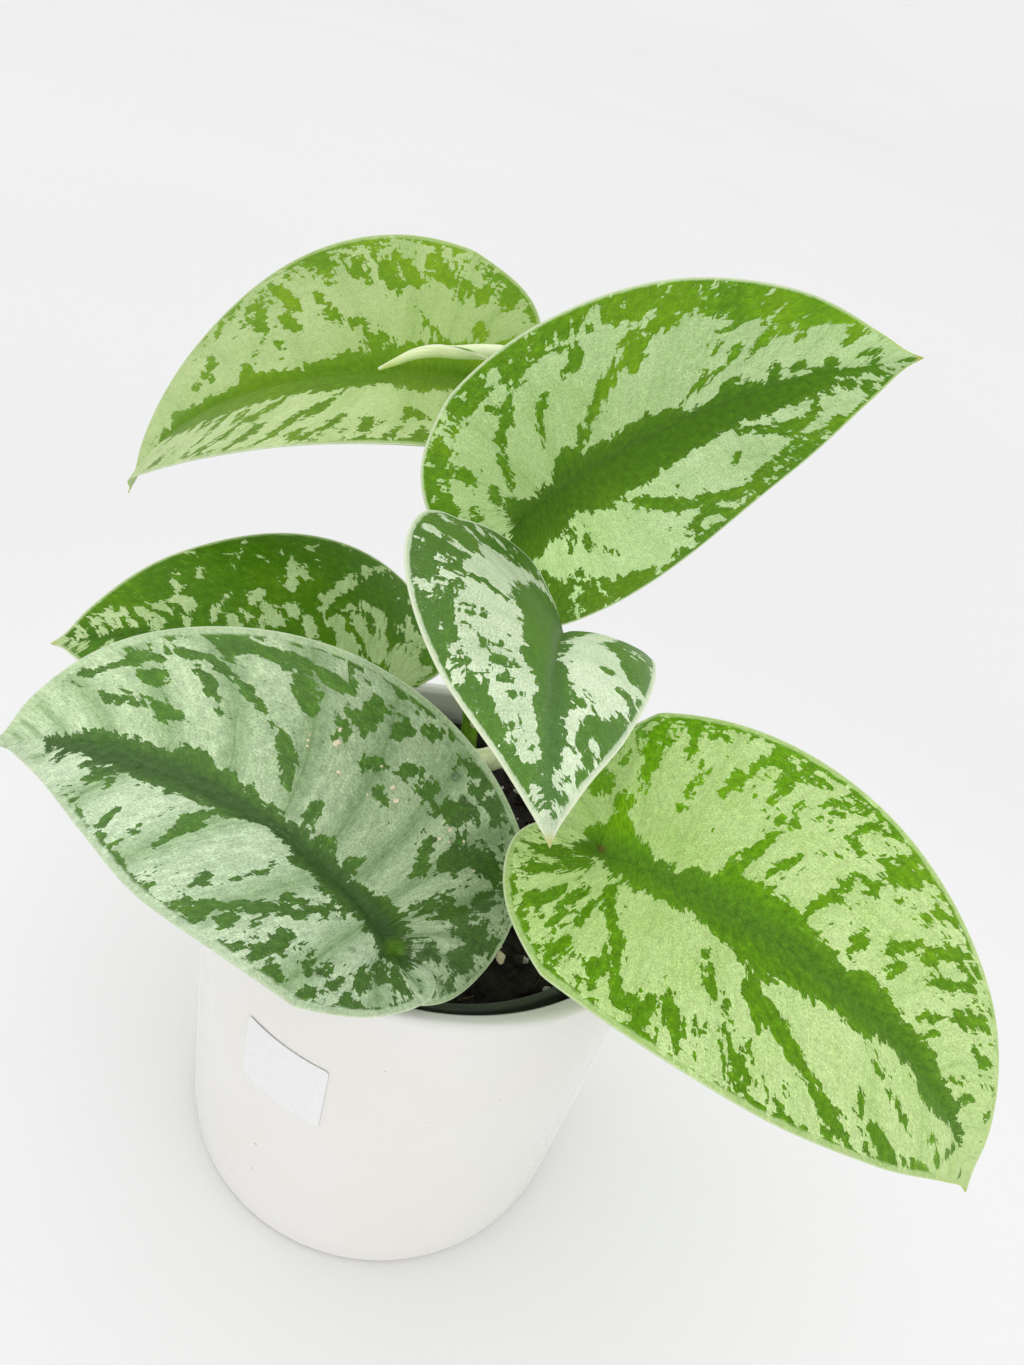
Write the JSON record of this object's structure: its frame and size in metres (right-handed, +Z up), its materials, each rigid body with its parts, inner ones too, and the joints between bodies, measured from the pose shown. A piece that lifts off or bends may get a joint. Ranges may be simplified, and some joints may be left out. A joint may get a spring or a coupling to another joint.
{
  "type": "potted satin pothos plant",
  "caption": "Trailing house plant with heart-shaped silver-splashed leaves, in a plastic nursery pot that stands inside a white glazed cover pot.",
  "frame": {"origin": "centre of the cover pot's flat foot, on the surface it stands on", "axes": "+Z up along the pot's axis; +X to the right and -Y to the front, the side that the sticker and the front leaves are on"},
  "size_m": [0.2751, 0.1921, 0.2605],
  "materials": {
    "glaze": "gloss",
    "sticker_paper": "matte",
    "nursery_plastic": "matte",
    "potting_mix": "matte",
    "stalk": "satin",
    "new_leaf": "satin",
    "leaf_light": "satin",
    "leaf_deep": "satin"
  },
  "bodies": {
    "root": {"cover_pot": "glaze", "sticker": "sticker_paper", "nursery_pot": "nursery_plastic", "soil": "potting_mix", "tall_vine": "stalk", "low_vine": "stalk", "rolled_leaf": "new_leaf", "leaf_back_left": "leaf_light", "leaf_upper_right": "leaf_light", "leaf_middle": "leaf_deep", "leaf_left": "leaf_deep", "leaf_front_left": "leaf_deep", "leaf_front_right": "leaf_light"}
  },
  "joints": []
}
